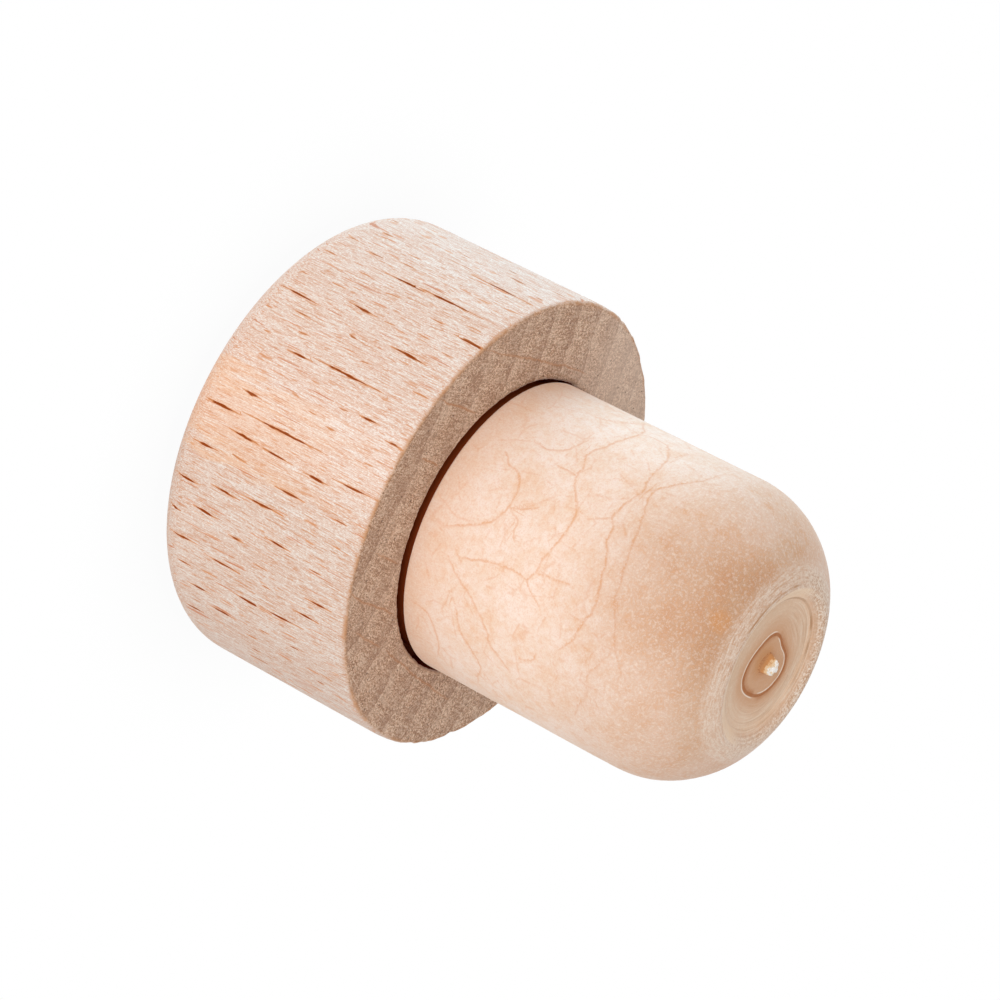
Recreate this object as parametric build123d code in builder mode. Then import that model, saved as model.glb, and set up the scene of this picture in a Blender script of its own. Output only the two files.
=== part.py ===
# Wooden bottle stopper: a turned beech head, bored from below, on a moulded synthetic plug.
# Millimetres. It stands on its head: z = 0 is the head's flat top, and the plug points up +Z.
import os
from math import acos, degrees, sqrt

from build123d import *

# Head: a turned cylinder, rounded at its top and almost sharp at its lower face
head_diameter = 30.0
head_height = 15.5
head_top_round = 2.3
face_edge_break = 0.15

# Blind bore in the head's lower face: the plug's diameter and an open gap all round
bore_gap = 0.25
bore_depth = 8.0
bore_mouth_break = 0.12

# Plug: the part that goes into the bottle's neck
plug_diameter = 19.5
plug_length = 20.9
plug_standoff = 0.2
shoulder_break = 0.15
tip_round = 6.6

# Recess in the tip, which keeps the moulding gate below the rim
rim_radius = 5.2
rim_round = 0.5
recess_radius = 4.2
recess_depth = 0.58

# What the mould leaves in the recess: a raised ring and the torn stub of the gate
gate_ring_radius = 2.2
gate_ring_width = 0.3
gate_ring_height = 0.15
gate_stub_diameter = 1.4
gate_tear_diameter = 0.9
gate_stub_height = 0.4
gate_stub_tear = 20.0

# Tenon, stepped in from the plug's side, and the glue that holds it in the bore
tenon_step = 0.55
tenon_lead = 0.6
glue_floor = 0.3
glue_level = 2.5

# Heights that follow from these
face_z = head_height
bore_floor_z = face_z - bore_depth
shoulder_z = face_z + plug_standoff
rim_z = face_z + plug_length
recess_z = rim_z - recess_depth
tenon_end_z = bore_floor_z + glue_floor
glue_top_z = face_z - glue_level

# Radii that follow from these
head_radius = head_diameter / 2
plug_radius = plug_diameter / 2
bore_radius = plug_radius + bore_gap
tenon_radius = plug_radius - tenon_step

# The tip's arc leaves the wall upright and ends at the rim
tip_centre_radius = plug_radius - tip_round
tip_rise = sqrt(tip_round**2 - (rim_radius - tip_centre_radius) ** 2)
tip_start_z = rim_z - tip_rise
tip_sweep = degrees(acos((rim_radius - tip_centre_radius) / tip_round))


# Head
with BuildPart() as wooden_head:
    with BuildSketch(Plane.XZ):
        with BuildLine():
            Polyline(
                (0, 0),
                (head_radius, 0),
                (head_radius, face_z),
                (bore_radius, face_z),
                (bore_radius, bore_floor_z),
                (0, bore_floor_z),
                close=True,
            )
        make_face()
    revolve(axis=Axis.Z)
    rims = wooden_head.edges().filter_by(GeomType.CIRCLE)
    top_edge = rims.group_by(Axis.Z)[0]
    face_edges = rims.group_by(Axis.Z)[-1].sort_by(SortBy.RADIUS)
    fillet(top_edge, radius=head_top_round)
    chamfer(face_edges[-1], length=face_edge_break)
    chamfer(face_edges[0], length=bore_mouth_break)
wooden_head.part.label = "wooden_head"


# Plug: tenon, shoulder, wall, rounded rim, recess and gate ring are one turned section
with BuildPart() as synthetic_plug:
    with BuildSketch(Plane.XZ) as plug_section:
        with BuildLine():
            tenon_and_wall = Polyline(
                (0, tenon_end_z),
                (tenon_radius, tenon_end_z),
                (tenon_radius, shoulder_z),
                (plug_radius, shoulder_z),
                (plug_radius, tip_start_z),
            )
            tip = JernArc(tenon_and_wall @ 1, (0, 1), tip_round, tip_sweep)
            Polyline(
                tip @ 1,
                (recess_radius, recess_z),
                (gate_ring_radius + gate_ring_width / 2, recess_z),
                (gate_ring_radius, recess_z + gate_ring_height),
                (gate_ring_radius - gate_ring_width / 2, recess_z),
                (0, recess_z),
                (0, tenon_end_z),
            )
        make_face()
        rim_corner = plug_section.vertices().sort_by_distance((rim_radius, rim_z))[0]
        fillet(rim_corner, radius=rim_round)
        shoulder_corner = plug_section.vertices().sort_by_distance((plug_radius, shoulder_z))[0]
        chamfer(shoulder_corner, length=shoulder_break)
        tenon_corner = plug_section.vertices().sort_by_distance((tenon_radius, tenon_end_z))[0]
        chamfer(tenon_corner, length=tenon_lead)
    revolve(axis=Axis.Z)

    # Torn stub of the gate: a tapered stump whose top leans with the tear
    with BuildSketch(Plane.XY.offset(recess_z)):
        Circle(gate_stub_diameter / 2)
    with BuildSketch(Plane.XY.offset(recess_z + gate_stub_height).rotated((gate_stub_tear, 0, 0))):
        Circle(gate_tear_diameter / 2)
    loft()
synthetic_plug.part.label = "synthetic_plug"


# Glue: a disc under the tenon and a collar round its lower end
with BuildPart() as glue_layer:
    with BuildSketch(Plane.XZ):
        with BuildLine():
            Polyline(
                (0, bore_floor_z),
                (bore_radius, bore_floor_z),
                (bore_radius, glue_top_z),
                (tenon_radius, glue_top_z),
                (tenon_radius, tenon_end_z + tenon_lead),
                (tenon_radius - tenon_lead, tenon_end_z),
                (0, tenon_end_z),
                close=True,
            )
        make_face()
    revolve(axis=Axis.Z)
glue_layer.part.label = "glue_layer"


os.makedirs("parts", exist_ok=True)
for piece in (wooden_head, synthetic_plug, glue_layer):
    export_step(piece.part, f"parts/{piece.part.label}.step")
    print(piece.part.label, round(piece.part.volume, 1), "mm3")
print("plug wall", round(tip_start_z - shoulder_z - shoulder_break, 3), "mm long")
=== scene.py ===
"""Wooden bottle stopper: a turned beech head, a moulded synthetic plug and a plain pale studio.

Lengths inside the making functions are millimetres, and MM turns them into Blender's metres.
A turn angle is in degrees about the stopper's axis, 0 at -Y and growing toward +X.
"""
from math import atan2, cos, degrees, hypot, pi, radians, sin, sqrt

import bpy
import numpy as np
from bpy.props import FloatProperty, FloatVectorProperty, PointerProperty
from bpy.types import Operator, Panel, PropertyGroup
from mathutils import Matrix, Vector
from mathutils.kdtree import KDTree


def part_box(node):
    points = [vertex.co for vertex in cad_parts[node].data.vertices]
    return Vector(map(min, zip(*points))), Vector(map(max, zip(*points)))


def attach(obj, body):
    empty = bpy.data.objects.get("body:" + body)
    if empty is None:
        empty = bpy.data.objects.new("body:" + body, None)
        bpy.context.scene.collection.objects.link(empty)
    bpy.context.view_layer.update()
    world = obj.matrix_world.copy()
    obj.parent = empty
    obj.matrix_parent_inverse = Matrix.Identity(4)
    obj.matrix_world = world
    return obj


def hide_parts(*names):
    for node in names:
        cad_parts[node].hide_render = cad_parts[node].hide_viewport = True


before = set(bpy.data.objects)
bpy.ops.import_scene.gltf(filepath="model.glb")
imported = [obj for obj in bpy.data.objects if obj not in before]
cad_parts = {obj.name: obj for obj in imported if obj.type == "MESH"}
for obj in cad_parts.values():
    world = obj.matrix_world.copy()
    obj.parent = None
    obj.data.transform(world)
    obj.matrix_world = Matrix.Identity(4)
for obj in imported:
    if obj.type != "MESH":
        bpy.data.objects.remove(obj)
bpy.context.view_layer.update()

bl_info = {
    "name": "Wooden Bottle Stopper",
    "version": (1, 0, 0),
    "blender": (4, 5, 0),
    "location": "3D View > Sidebar > Stopper",
    "description": "Builds a turned and moulded bottle stopper round its packed solids",
    "category": "Object",
}

MM = 0.001

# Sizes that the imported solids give, in millimetres
head_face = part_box("wooden_head")[1] / MM
plug_foot, plug_tip = (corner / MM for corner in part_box("synthetic_plug"))
glue_foot, glue_rim = (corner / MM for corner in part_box("glue_layer"))
HEAD_RADIUS = head_face.x
FACE_HEIGHT = head_face.z
BORE_RADIUS = glue_rim.x
BORE_FLOOR = glue_foot.z
PLUG_RADIUS = plug_tip.x
TENON_END = plug_foot.z
PLUG_TOP = plug_tip.z

# The rim's rounding lies this far below the sharp corner of the tip's arc and the recess's flank
RIM_ROUNDING = 0.026
SHARP_RIM = PLUG_TOP + RIM_ROUNDING

# How fine the meshes are round the axis, and the seeds of everything random
HEAD_COLUMNS = 640
PLUG_COLUMNS = 400
HEAD_SEED = 21
PLUG_SEED = 8
FLECK_SEED = 5
VEIN_SEED = 12

# Where the tree's pith lies across the grain, and how the growth rings follow from it:
# the radius of one ring, rings to each millimetre there, and how fast they grow thinner
PITH = (4.5, -55.0)
RING_START = 42.6
RING_RATE = 0.292
RING_GROWTH = 0.0033

# Dark ray flecks on the head's side: turn angle, middle height, length
SIDE_FLECKS = (
    (-58, 12.4, 3.1), (-44.5, 11.3, 3.3), (-44, 8.3, 2.6), (-36, 14.6, 1.8), (-31, 7.3, 1.5),
    (-27, 3.1, 2.1), (-25.5, 12.0, 1.8), (-14.5, 9.5, 3.4), (-13.5, 5.9, 1.2), (-7.5, 12.4, 1.0),
    (-5, 14.7, 0.9), (-0.5, 4.4, 1.0), (4, 7.7, 4.3), (5, 2.9, 1.9), (8, 13.7, 2.3),
    (9, 5.2, 1.5), (9.5, 7.8, 1.7), (10, 11.0, 1.3), (15, 2.8, 1.3), (16, 9.6, 1.5),
    (21.5, 8.0, 2.1), (23, 5.2, 1.5), (24.5, 2.2, 1.3), (28.5, 9.7, 1.3), (30, 4.0, 1.3),
    (32.5, 6.6, 0.8), (33, 1.7, 0.7), (38, 13.4, 1.4), (39.5, 2.6, 1.5), (41, 5.8, 1.8),
    (43, 12.5, 1.3), (47.5, 10.5, 2.3), (48, 8.0, 2.1), (52.5, 3.8, 1.3), (57, 5.5, 1.5),
    (62, 2.9, 1.0),
)

# Random flecks on the side: lengths, how often each comes, and how many are tried. At turn angles
# where the placed ones lie they are short, and they keep clear of others across and along the grain.
FLECK_LENGTHS = (0.8, 1.2, 1.6, 2.2, 3.0)
FLECK_SHARES = (0.3, 0.3, 0.2, 0.13, 0.07)
FLECK_TRIES = 1400
PLACED_WITHIN = 66
SHORT_FLECK = 1.3
CLEAR_ACROSS = 1.05
CLEAR_ALONG = 0.7

# Rays that cross the head's lower face, as x, y places, and how far the first runs on down the side
FACE_RAYS = (
    ((-10.8, 1.0), (-10.5, -2.2), (-9.8, -6.8), (-9.3, -9.1), (-8.9, -12.1)),
    ((11.2, 4.7), (10.8, -0.9), (10.0, -5.8)),
    ((9.95, -6.4), (9.8, -10.1)),
    ((7.8, -6.7), (7.7, -10.4), (7.5, -13.0)),
    ((4.9, -9.3), (4.9, -12.3)),
    ((-5.3, -9.2), (-5.2, -10.9), (-5.0, -13.8)),
    ((-1.4, -10.4), (-1.4, -12.6)),
)
RUN_DOWN = 1.8

# Nicks in the lower face's edge: turn angle and half width in degrees, and depth
RIM_NICKS = ((117.5, 1.6, 0.16), (84, 9.0, 0.10), (-5, 0.6, 0.10), (-118, 2.2, 0.09))

# The bore's mouth: how ragged it is, and how far and at which turn angle it lies nearer to the plug
MOUTH_FRAY = 0.028
MOUTH_SHIFT = 0.17
MOUTH_SHIFT_TURN = -100

# The gate's ring: waves round it as count, share of its radius and turn angle of the first crest,
# the width of its bead, and where its middle lies
RING_WAVES = ((1, 0.071, 36), (2, 0.098, 0), (3, 0.061, 53), (4, 0.038, 24))
RING_BEAD = 0.12
RING_MIDDLE = (0.15, 0.14)

# The gate's stub: half sizes across and along its lean, and how far its top leans, as shares of its height
STUB_HALF_SIZE = (0.68, 0.72)
STUB_LEAN = (0.1, 0.3)

# A turn angle and a height on the plug's side are this many millimetres along its surface
SIDE_SCALE = np.array([radians(1) * PLUG_RADIUS, 1])

# Veins on the plug's side: turn angle and height above the head's face.
# A trunk meets no other trunk, and a branch starts on a trunk.
VEIN_TRUNKS = (
    ((-66, 14.0), (-57, 13.9), (-51, 13.5), (-43, 12.7), (-37, 12.2), (-27, 12.8), (-18, 13.3),
     (-11, 13.6), (-2, 14.0), (4, 14.2), (11, 14.8), (19, 15.3), (25, 15.9), (33, 17.0), (39, 18.0),
     (45, 18.7), (54, 19.6)),
    ((-64, 7.9), (-66, 8.6), (-66, 9.6), (-63, 10.1), (-57, 10.8), (-51, 11.1), (-40, 11.4),
     (-36, 11.7), (-29, 11.4), (-21, 11.3), (-17, 11.8), (-12, 11.9), (-8, 12.4), (-1, 12.7),
     (6, 13.1), (11, 13.2), (18, 12.8), (26, 12.4), (31, 11.6)),
    ((-80, 6.5), (-74, 7.0), (-69, 7.6), (-63, 7.9), (-53, 7.7), (-47, 7.5), (-40, 7.1), (-33, 7.5),
     (-27, 7.7), (-22, 8.4), (-18, 9.0), (-11, 9.3), (-4, 9.1), (3, 8.8), (9, 8.7), (13, 8.4),
     (17, 9.1), (20, 10.0)),
    ((-25, 2.7), (-21, 3.5), (-19, 4.5), (-14, 5.0), (-7, 5.1), (-1, 4.7), (3, 3.9), (7, 2.6),
     (9, 1.8)),
    ((51, 8.5), (47, 7.9), (43, 7.0), (37, 6.5), (32, 5.8), (27, 4.7), (22, 3.5), (18, 2.6)),
    ((42, 0.7), (43, 1.9), (48, 2.6), (56, 2.9), (64, 2.6)),
    ((-46, 6.3), (-39, 6.0), (-35, 5.5), (-33, 4.7), (-34, 3.7)),
)
VEIN_BRANCHES = (
    ((19, 15.3), (27, 14.8), (34, 14.1), (42, 14.2), (48, 13.7), (56, 13.3)),
    ((-21, 11.3), (-18, 10.6), (-16, 9.9)),
    ((13, 8.4), (12, 7.0), (14, 5.1), (17, 3.5)),
    ((9, 8.7), (8, 10.0), (7, 11.2)),
    ((3, 3.9), (4, 2.3), (1, 0.9), (0, 0.4)),
    ((-7, 5.1), (-9, 6.1), (-12, 7.0)),
    ((-6.5, 5.2), (-4, 6.1), (0, 6.2), (3, 6.6)),
    ((-74, 7.0), (-68, 6.4), (-63, 5.8), (-60, 4.9)),
    ((29, 3.5), (36, 4.2), (44, 4.7), (50, 5.5), (56, 6.1), (62, 5.8), (69, 5.5)),
    ((36, 10.3), (40, 10.1), (42, 9.1)),
    ((-29, 7.6), (-29, 6.1)),
)

# Camera: the directions behind it and to its right, and its place in millimetres
CAMERA_BACK = (0.0052, -0.8790, 0.4767)
CAMERA_RIGHT = (-0.4606, 0.4210, 0.7814)
CAMERA_PLACE = (0, -234.3, 141.7)
SENSOR_WIDTH = 36.0

# Lamps: where each shines from, and how wide it looks, in degrees
KEY_LAMP_FROM = (0.2, -0.95, 0.12)
KEY_LAMP_SPREAD = 50
RIM_LAMP_FROM = (-0.82, 0.36, -0.45)
RIM_LAMP_SPREAD = 40

# Floor: half its side, how far it lies below the stopper and how far the stopper's shadow reaches
FLOOR_HALF = 3000
FLOOR_DROP = 0.02
SHADOW_REACH = 10


def turned(radius, angle, height):
    """The place at a radius, a turn angle in degrees and a height."""
    turn = np.radians(angle)
    return np.stack(np.broadcast_arrays(radius * np.sin(turn), -radius * np.cos(turn), height), -1)


def ease(value, low, high):
    """0 below low, 1 above high and smooth between them; low may be the larger one."""
    share = np.clip((value - low) / (high - low), 0, 1)
    return share * share * (3 - 2 * share)


def ripple(rng, angle, along, cells_round, cells_along):
    """Smooth random waves from -1 to 1 over turn angles and shares of a length, closed all round."""
    lattice = rng.uniform(-1, 1, (cells_along + 2, cells_round))
    across = np.mod(angle / 360 * cells_round, cells_round)
    up = np.clip(along, 0, 1) * cells_along
    column, row = np.floor(across).astype(int), np.floor(up).astype(int)
    share_x, share_y = ease(across - column, 0, 1), ease(up - row, 0, 1)
    left, right = column % cells_round, (column + 1) % cells_round
    low = lattice[row, left] * (1 - share_x) + lattice[row, right] * share_x
    high = lattice[row + 1, left] * (1 - share_x) + lattice[row + 1, right] * share_x
    return low * (1 - share_y) + high * share_y


class Section:
    """Half the section of a turned form, as radius and height, from one point on the axis to another."""

    def __init__(self, height):
        self.rows = [(0.0, height)]

    def line(self, radius, height, step):
        """A straight stretch, in steps of about the given length."""
        start_radius, start_height = self.rows[-1]
        count = max(1, round(hypot(radius - start_radius, height - start_height) / step))
        for share in np.linspace(0, 1, count + 1)[1:]:
            self.rows.append((start_radius + (radius - start_radius) * share,
                              start_height + (height - start_height) * share))

    def arc(self, centre, radius, start, end, step):
        """An arc about a centre, between two angles from the outward direction, in degrees."""
        count = max(1, round(radius * abs(radians(end - start)) / step))
        for angle in np.linspace(radians(start), radians(end), count + 1):
            self.rows.append((centre[0] + radius * cos(angle), centre[1] + radius * sin(angle)))

    def bend(self, corner, end, step):
        """A soft bend to the end, drawn toward the corner."""
        start = self.rows[-1]
        count = max(2, round((hypot(end[0] - corner[0], end[1] - corner[1]) * 2) / step))
        for share in np.linspace(0, 1, count + 1)[1:]:
            place = [(1 - share) ** 2 * a + 2 * share * (1 - share) * b + share**2 * c
                     for a, b, c in zip(start, corner, end)]
            self.rows.append(tuple(place))

    def rings(self):
        """Radius and height of every ring, without the two points on the axis."""
        rows = np.array(self.rows)
        return rows[1:-1, :1], rows[1:-1, 1:]


def close_turning(name, grid, low_pole, high_pole):
    """A watertight mesh from rings of points and the two points on the axis."""
    rings, columns, _ = grid.shape
    points = np.vstack([grid.reshape(-1, 3), [low_pole, high_pole]]) * MM
    index = np.arange(rings * columns).reshape(rings, columns)
    beside = np.roll(index, -1, axis=1)
    quads = np.stack([index[:-1], beside[:-1], beside[1:], index[1:]], -1).reshape(-1, 4)
    low, high = rings * columns, rings * columns + 1
    faces = quads.tolist()
    faces += [(low, b, a) for a, b in zip(index[0].tolist(), beside[0].tolist())]
    faces += [(high, a, b) for a, b in zip(index[-1].tolist(), beside[-1].tolist())]
    mesh = bpy.data.meshes.new(name)
    mesh.from_pydata(points.tolist(), [], faces)
    mesh.polygons.foreach_set("use_smooth", np.ones(len(faces), bool))
    mesh.update()
    return mesh


def smooth_line(places, step=0.05):
    """The places joined by a smooth curve (Catmull-Rom), sampled in short steps."""
    knots = np.array([places[0], *places, places[-1]], float)
    knots[0] = 2 * knots[1] - knots[2]
    knots[-1] = 2 * knots[-2] - knots[-3]
    pieces = []
    for a, b, c, d in zip(knots, knots[1:], knots[2:], knots[3:]):
        count = max(2, round(np.linalg.norm(c - b) / step))
        share = np.linspace(0, 1, count, endpoint=False)[:, None]
        pieces.append(0.5 * (2 * b + (c - a) * share + (2 * a - 5 * b + 4 * c - d) * share**2
                             + (3 * b - a - 3 * c + d) * share**3))
    return np.vstack([*pieces, knots[-2:-1]])


class Mark:
    """A fine line on a surface: its samples in space, half its width at each, and its strength."""

    def __init__(self, places, half_width, strength, taper=0.5, tail=0.0):
        self.places = places
        run = np.linspace(0, 1, len(places))
        ends = np.clip((np.minimum(run, 1 - run) - tail) / (taper / 2), 0, 1)
        self.half_widths = half_width * np.sqrt(ends)
        self.strengths = np.full(len(places), strength)
        if tail:
            thin = 0.045 * np.sqrt(np.clip(np.minimum(run, 1 - run) / tail, 0, 1))
            self.strengths = np.where(self.half_widths < thin, 0.65 * strength, strength)
            self.half_widths = np.maximum(self.half_widths, thin)
        self.tangents = np.gradient(places, axis=0)
        self.tangents /= np.linalg.norm(self.tangents, axis=1)[:, None]


def draw_marks(mesh, name, marks, reach=0.5):
    """Stores how far each point lies across its nearest mark, the mark's half width and strength.

    The distance is signed, so that a line thinner than the mesh still comes out sharp.
    """
    count = len(mesh.vertices)
    points = np.empty(count * 3)
    normals = np.empty(count * 3)
    mesh.vertices.foreach_get("co", points)
    mesh.vertices.foreach_get("normal", normals)
    points, normals = points.reshape(-1, 3) / MM, normals.reshape(-1, 3)
    places = np.vstack([mark.places for mark in marks])
    tangents = np.vstack([mark.tangents for mark in marks])
    half_widths = np.concatenate([mark.half_widths for mark in marks])
    strengths = np.concatenate([mark.strengths for mark in marks])
    tree = KDTree(len(places))
    for index, place in enumerate(places):
        tree.insert(place, index)
    tree.balance()
    stored = np.zeros((count, 3))
    stored[:, 0] = reach
    for vertex, point in enumerate(points):
        _, index, distance = tree.find(point)
        if distance < 2 * reach:
            across = np.dot(np.cross(normals[vertex], tangents[index]), point - places[index])
            fade = 1 - ease(distance, 0.6 * reach, reach)
            stored[vertex] = across, half_widths[index] * fade, strengths[index]
    layer = mesh.attributes.new(name, "FLOAT_VECTOR", "POINT")
    layer.data.foreach_set("vector", stored.ravel())


def store_values(mesh, name, values):
    """Stores one number for each point of the mesh."""
    layer = mesh.attributes.new(name, "FLOAT", "POINT")
    layer.data.foreach_set("value", np.asarray(values, np.float32))


def new_material(name):
    """An empty material and the graph of its nodes."""
    material = bpy.data.materials.new(name)
    material.use_nodes = True
    return material, Graph(material.node_tree)


class Graph:
    """Short calls for the nodes of one node tree. A value is a socket, a number or a colour."""

    def __init__(self, tree):
        self.tree = tree
        self.tree.nodes.clear()

    def node(self, kind, values=(), **settings):
        made = self.tree.nodes.new(kind)
        for name, value in settings.items():
            setattr(made, name, value)
        for key, value in dict(values).items():
            self.feed(made.inputs[key], value)
        return made

    def feed(self, socket, value):
        if isinstance(value, bpy.types.NodeSocket):
            self.tree.links.new(value, socket)
        elif socket.type == "RGBA":
            socket.default_value = (*tuple(value)[:3], 1)
        else:
            socket.default_value = value

    def math(self, operation, *values):
        return self.node("ShaderNodeMath", enumerate(values), operation=operation).outputs[0]

    def length(self, x, y):
        return self.math("SQRT", self.sum(self.times(x, x), self.times(y, y)))

    def sum(self, *values):
        total = values[0]
        for value in values[1:]:
            total = self.math("ADD", total, value)
        return total

    def times(self, *values):
        product = values[0]
        for value in values[1:]:
            product = self.math("MULTIPLY", product, value)
        return product

    def vector(self, operation, *values):
        return self.node("ShaderNodeVectorMath", enumerate(values), operation=operation).outputs[0]

    def split(self, vector):
        return self.node("ShaderNodeSeparateXYZ", {"Vector": vector}).outputs[:]

    def join(self, x, y, z):
        return self.node("ShaderNodeCombineXYZ", {"X": x, "Y": y, "Z": z}).outputs[0]

    def stretch(self, vector, x, y, z):
        """The coordinates divided by a size in each direction, in millimetres."""
        return self.vector("DIVIDE", vector, (x, y, z))

    def noise(self, vector, detail, roughness=0.5):
        values = {"Vector": vector, "Scale": 1.0, "Detail": detail, "Roughness": roughness}
        return self.node("ShaderNodeTexNoise", values).outputs[0]

    def lumps(self, place, size, detail, roughness=0.5):
        """Noise in even lumps of about the given size, in millimetres."""
        return self.noise(self.stretch(place, size, size, size), detail, roughness)

    def cells(self, vector, feature="F1"):
        return self.node("ShaderNodeTexVoronoi", {"Vector": vector, "Scale": 1.0}, feature=feature)

    def dots(self, place, size, edge, chance):
        """Round dots in some of the cells: edge sets how large they are, chance how many cells have one."""
        cells = self.cells(self.stretch(place, size, size, size))
        picked = self.split(cells.outputs["Color"])[0]
        return self.times(self.smooth(cells.outputs["Distance"], *edge), self.smooth(picked, *chance))

    def smooth(self, value, low, high, start=0.0, end=1.0):
        """From start, where the value is low, to end, where it is high; low may be the larger one."""
        values = {"Value": value, "From Min": low, "From Max": high, "To Min": start, "To Max": end}
        made = self.node("ShaderNodeMapRange", values, interpolation_type="SMOOTHSTEP")
        return made.outputs[0]

    def mix(self, share, first, second, blend="MIX"):
        """The first colour with a share of the second laid over it."""
        made = self.node("ShaderNodeMix", data_type="RGBA", blend_type=blend)
        self.feed(made.inputs[0], share)
        self.feed(made.inputs[6], first)
        self.feed(made.inputs[7], second)
        return made.outputs[2]

    def paint(self, colour, paint, value, low, high, share=1.0):
        """The colour with a share of the paint over it, growing from low to high values."""
        return self.mix(self.smooth(value, low, high, 0, share), colour, paint)

    def tint(self, colour, tint):
        """The colour darkened by a tint."""
        return self.mix(1.0, colour, tint, "MULTIPLY")

    def attribute(self, name):
        return self.node("ShaderNodeAttribute", attribute_name=name, attribute_type="GEOMETRY")

    def place(self):
        """The place on the object, in millimetres."""
        found = self.node("ShaderNodeTexCoord").outputs["Object"]
        return self.vector("DIVIDE", found, (MM, MM, MM))

    def line_mask(self, name, wander, softness=0.05):
        """1 on the stored marks and 0 off them, and the strength of the nearest one."""
        across, half_width, strength = self.split(self.attribute(name).outputs["Vector"])
        off = self.math("ABSOLUTE", self.math("ADD", across, wander))
        inside = self.math("SUBTRACT", half_width, off)
        found = self.smooth(inside, -softness / 2, softness / 2)
        shown = self.smooth(half_width, 0.004, 0.02)
        return self.times(found, shown, strength)

    def finish(self, colour, height, depth, roughness, specular, sheen=0.0):
        """The surface: colour, relief of the given depth in millimetres, gloss and sheen."""
        bump = self.node("ShaderNodeBump", {"Height": height, "Distance": depth * MM, "Strength": 1.0})
        shader = self.node("ShaderNodeBsdfPrincipled", {
            "Base Color": colour, "Roughness": roughness, "Specular IOR Level": specular,
            "Sheen Weight": sheen, "Sheen Roughness": 0.3, "Normal": bump.outputs[0],
        })
        output = self.node("ShaderNodeOutputMaterial")
        self.tree.links.new(shader.outputs[0], output.inputs[0])


def size_setting(name, description, default, low, high, precision=5):
    """A size that the panel shows, given here in millimetres."""
    return FloatProperty(
        name=name, description=description, default=default * MM, min=low * MM, max=high * MM,
        unit="LENGTH", precision=precision)


def colour_setting(name, description, default):
    """A colour that the panel shows."""
    return FloatVectorProperty(
        name=name, description=description, subtype="COLOR", default=default, min=0, max=1)


class BeechSettings(PropertyGroup):
    """Sizes and colours of the turned head."""

    top_round: size_setting(
        "Top Round", "Radius of the rounded edge at the head's flat top", 2.3, 0.2, 6)
    edge_break: size_setting("Edge Break", "Size of the broken edge round the lower face", 0.15, 0, 1)
    mouth_break: size_setting(
        "Mouth Break", "Size of the broken edge at the bore's mouth", 0.12, 0, 0.2)
    fuzz: size_setting("Fuzz", "Height of the torn fibres on the end grain", 0.035, 0, 0.2, precision=6)
    pale: colour_setting("Pale Wood", "Colour of the lightest fibres", (0.94, 0.845, 0.78))
    wood: colour_setting("Wood", "Middle colour of the side", (0.825, 0.62, 0.515))
    warm: colour_setting("Warm Streak", "Colour of the orange streak", (0.90, 0.54, 0.34))
    ray: colour_setting("Ray Flecks", "Colour of the dark ray flecks", (0.30, 0.06, 0.012))
    end_grain: colour_setting("End Grain", "Middle colour of the lower face", (0.60, 0.36, 0.23))


class PlugSettings(PropertyGroup):
    """Sizes and colours of the moulded plug."""

    tenon_step: size_setting(
        "Tenon Step", "How far the tenon stands in from the plug's side", 0.55, 0, 3)
    shoulder_gap: size_setting(
        "Shoulder Gap", "Height of the plug's shoulder above the head's face", 0.2, 0, 1)
    tip_round: size_setting("Tip Round", "Radius of the rounded tip", 6.6, 1, 8)
    rim_radius: size_setting("Rim Radius", "Radius of the rim round the recess", 5.2, 3, 8)
    recess_radius: size_setting("Recess Radius", "Radius of the recess at its floor", 4.2, 2, 7)
    recess_depth: size_setting("Recess Depth", "Depth of the recess below the sharp rim", 0.58, 0.1, 2)
    ring_radius: size_setting("Gate Ring Radius", "Radius of the ring that the gate left", 2.11, 1, 4)
    ring_height: size_setting("Gate Ring Height", "Height of that ring", 0.02, 0, 0.4)
    stub_height: size_setting("Stub Height", "Height of the torn stub of the gate", 0.50, 0, 0.55)
    peach: colour_setting("Peach", "Middle colour of the plug", (0.915, 0.69, 0.55))
    cream: colour_setting("Cream", "Colour of its pale patches and granules", (0.98, 0.82, 0.73))
    tan: colour_setting("Tan", "Colour of its orange-tan clouds", (0.88, 0.54, 0.34))
    vein: colour_setting("Veins", "Colour of the fine veins", (0.78, 0.35, 0.15))
    amber: colour_setting("Amber", "Colour of the gate's foot", (0.64, 0.28, 0.10))


class StageSettings(PropertyGroup):
    """The camera, the lamps and the floor."""

    focal_length: FloatProperty(
        name="Focal Length", description="Camera's focal length on a 36 mm wide sensor, in millimetres",
        default=154.8, min=20, max=500)
    key_strength: FloatProperty(
        name="Key Lamp", description="Strength of the large lamp beside the camera",
        default=1.4, min=0, max=20)
    rim_strength: FloatProperty(
        name="Rim Lamp", description="Strength of the lamp that shines up past the stopper's left outline",
        default=2.25, min=0, max=20)
    rim_colour: colour_setting(
        "Rim Lamp Colour", "Colour of that lamp, a little cooler than the key", (0.58, 0.84, 1.0))
    world_strength: FloatProperty(
        name="World Light", description="Strength of the even light from all round",
        default=0.68, min=0, max=2)
    floor_colour: colour_setting("Floor", "Colour of the floor", (0.85, 0.85, 0.84))


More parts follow.
